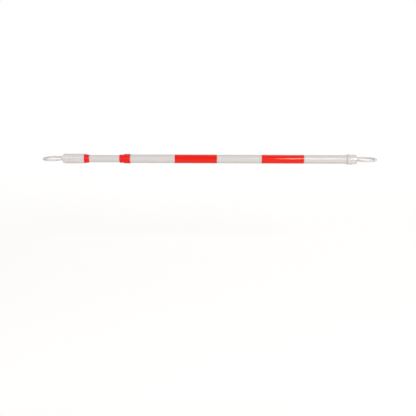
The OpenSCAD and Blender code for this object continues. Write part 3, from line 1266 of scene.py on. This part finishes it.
@dataclass
class Camera:
    """The photograph's viewpoint, found from the bar's length and stripes in the picture."""

    lens: float = 46.1
    sensor: float = 36.0
    place: Triple = (-0.726, -2.442, 0.39)
    pitch_deg: float = 14.33
    roll_deg: float = 0.2

    def mirrored(self, x: float, distance: float) -> float:
        """Returns where along X a thing in front of the bar shows mirrored in the bar at x."""
        return x + (x - self.place[0]) * distance / -self.place[1]

    def build(self) -> None:
        """Makes the camera and hands it to the scene."""
        data = bpy.data.cameras.new("photo_camera")
        data.lens = self.lens
        data.sensor_width = self.sensor
        camera = bpy.data.objects.new("photo_camera", data)
        bpy.context.scene.collection.objects.link(camera)
        tilt = Matrix.Rotation(math.radians(90 - self.pitch_deg), 4, "X")
        roll = Matrix.Rotation(math.radians(self.roll_deg), 4, "Z")
        camera.matrix_world = Matrix.Translation(Vector(self.place)) @ tilt @ roll
        bpy.context.scene.camera = camera
        log.info("camera at %s", self.place)


@dataclass(frozen=True)
class Softbox:
    """One large soft lamp that stands far from the bar and faces it."""

    name: str
    span: Range
    radiance: float
    place_y: float
    height: float = 2.2
    up: float = 3.85
    mirrored: bool = True

    def build(self) -> None:
        """Makes the lamp."""
        left, right = self.span
        data = bpy.data.lights.new(self.name, "AREA")
        data.shape = "RECTANGLE"
        data.size = right - left
        data.size_y = self.height
        data.energy = self.radiance * math.pi * data.size * data.size_y
        lamp = bpy.data.objects.new(self.name, data)
        bpy.context.scene.collection.objects.link(lamp)
        middle = Vector(((left + right) / 2, self.place_y, self.up))
        facing = Vector((0.0, -self.place_y, -self.up)).to_track_quat("-Z", "Y")
        lamp.matrix_world = Matrix.Translation(middle) @ facing.to_matrix().to_4x4()
        lamp.visible_camera = False
        lamp.visible_glossy = self.mirrored
        log.info("%s gives %.1f W", self.name, data.energy)


@dataclass
class Studio:
    """White room with a pale floor, a duller wall behind the camera, and softboxes round the bar."""

    ground: float = -0.62
    side: float = 60.0
    cells: int = 8
    room_level: float = 0.46
    white: float = 1.0
    floor_tone: Colour = colour(238, 237, 235)
    floor_scale: float = 30.0
    floor_cloud: float = 0.02
    floor_lift: float = 0.285
    fade: Range = (2.0, 5.0)
    wall_distance: float = 10.0
    wall_level: float = 0.55
    lamp_distance: float = 8.0
    key_shine: Range = (-0.365, 0.075)
    key_radiance: float = 20.0
    key_height: float = 3.4
    fill_shine: Range = (-1.47, -1.1)
    fill_radiance: float = 5.0
    fill_height: float = 2.2
    back_span: Range = (-4.5, 3.0)
    back_radiance: float = 5.5

    def build_room(self) -> None:
        """Makes the room as the world's light: white where it shows, and dimmer as a light."""
        graph = Graph("white_room", world=True)
        light = graph.add("ShaderNodeBackground", {"Color": WHITE, "Strength": self.room_level})
        shown = graph.add("ShaderNodeBackground", {"Color": WHITE, "Strength": self.white})
        both = {0: graph.seen(), 1: light.outputs[0], 2: shown.outputs[0]}
        mixed = graph.add("ShaderNodeMixShader", both).outputs[0]
        graph.add("ShaderNodeOutputWorld", {"Surface": mixed})
        bpy.context.scene.world = graph.owner

    def add_sheet(self, name: str, y: float, z: float, tilt: float) -> Piece:
        """Adds a large flat sheet of the stage, centred on the bar's middle.

        Args:
            name: Its name.
            y: Place of its middle on the Y axis.
            z: Place of its middle on the Z axis.
            tilt: Its turn about the X axis.

        Returns:
            The sheet.
        """
        Bench.clear()
        bpy.ops.mesh.primitive_grid_add(
            x_subdivisions=self.cells,
            y_subdivisions=self.cells,
            size=self.side,
            location=((cad_low.x + cad_high.x) / 2, y, z),
            rotation=(tilt, 0.0, 0.0),
        )
        sheet = Bench.settle()
        sheet.name = name
        log.info("%s at y %.2f m, z %.2f m", name, y, z)
        return sheet

    def build_floor(self) -> None:
        """Makes the pale floor, which keeps the bar's shadow and fades into the white room far away."""
        floor = self.add_sheet("pale_floor", 0.0, self.ground, 0.0)
        graph = Graph("pale_floor")
        cloudy = graph.ramp(graph.noise(self.floor_scale, detail=2.0), *SOFT, end=self.floor_cloud)
        matt = graph.add("ShaderNodeBsdfDiffuse", {"Color": graph.mix(cloudy, self.floor_tone, WHITE)})
        far = graph.add("ShaderNodeVectorMath", {0: graph.place}, operation="LENGTH").outputs["Value"]
        seen = graph.seen()
        glow = graph.add("ShaderNodeEmission", {"Strength": graph.times(seen, self.floor_lift)})
        lit = graph.add("ShaderNodeAddShader", {0: matt.outputs[0], 1: glow.outputs[0]})
        room = graph.add("ShaderNodeEmission", {"Strength": self.white})
        faded = graph.times(seen, graph.ramp(far, *self.fade))
        blend = graph.add("ShaderNodeMixShader", {0: faded, 1: lit.outputs[0], 2: room.outputs[0]})
        floor.data.materials.append(graph.end(blend.outputs[0]))

    def build_wall(self) -> None:
        """Makes the wall behind the camera, which shows only in what is glossy."""
        wall = self.add_sheet("dull_wall", -self.wall_distance, self.ground + self.side / 2, math.pi / 2)
        wall.visible_camera = False
        wall.visible_diffuse = False
        wall.visible_shadow = False
        graph = Graph("dull_wall")
        glow = graph.add("ShaderNodeEmission", {"Strength": self.wall_level})
        wall.data.materials.append(graph.end(glow.outputs[0]))

    def build_lamps(self, camera: Camera) -> None:
        """Makes two softboxes in front, mirrored along a stretch of the bar each, and one behind.

        Args:
            camera: The camera that sees the lamps mirrored in the bar.
        """
        for name, shine, radiance, height in (
            ("softbox_right", self.key_shine, self.key_radiance, self.key_height),
            ("softbox_left", self.fill_shine, self.fill_radiance, self.fill_height),
        ):
            left, right = (camera.mirrored(x, self.lamp_distance) for x in shine)
            Softbox(name, (left, right), radiance, -self.lamp_distance, height).build()
        behind = self.lamp_distance
        Softbox("softbox_back", self.back_span, self.back_radiance, behind, mirrored=False).build()

    def build(self, camera: Camera) -> None:
        """Makes the room, the floor, the wall and the lamps.

        Args:
            camera: The camera that sees the lamps mirrored in the bar.
        """
        self.build_room()
        self.build_floor()
        self.build_wall()
        self.build_lamps(camera)


def main() -> None:
    """Builds the camera, the studio and the bar's sub-assemblies in order."""
    logging.basicConfig(level=logging.INFO, format="%(name)s: %(message)s")
    bpy.context.scene.view_settings.view_transform = "Standard"
    camera = Camera()
    camera.build()
    Studio().build(camera)
    zinc = ZincFinish("zinc_plate").material()
    Tubes().build(zinc)
    RingMoulding(
        node="fixed_ring",
        body=Body.TUBE,
        mount="fixed_ring_bore",
        way=Along.LEFT,
        mouth_plain=14 * MM,
        bead=1.75 * MM,
    ).build()
    SocketScrews().build(zinc)
    RingMoulding(
        node="turning_ring",
        body=Body.TURNING,
        mount="turning_ring_bore",
        way=Along.RIGHT,
        mouth_plain=1 * MM,
    ).build()
    LockNut().build()
    RingCollar().build()
    Bench.clear()


if __name__ == "__main__":
    main()
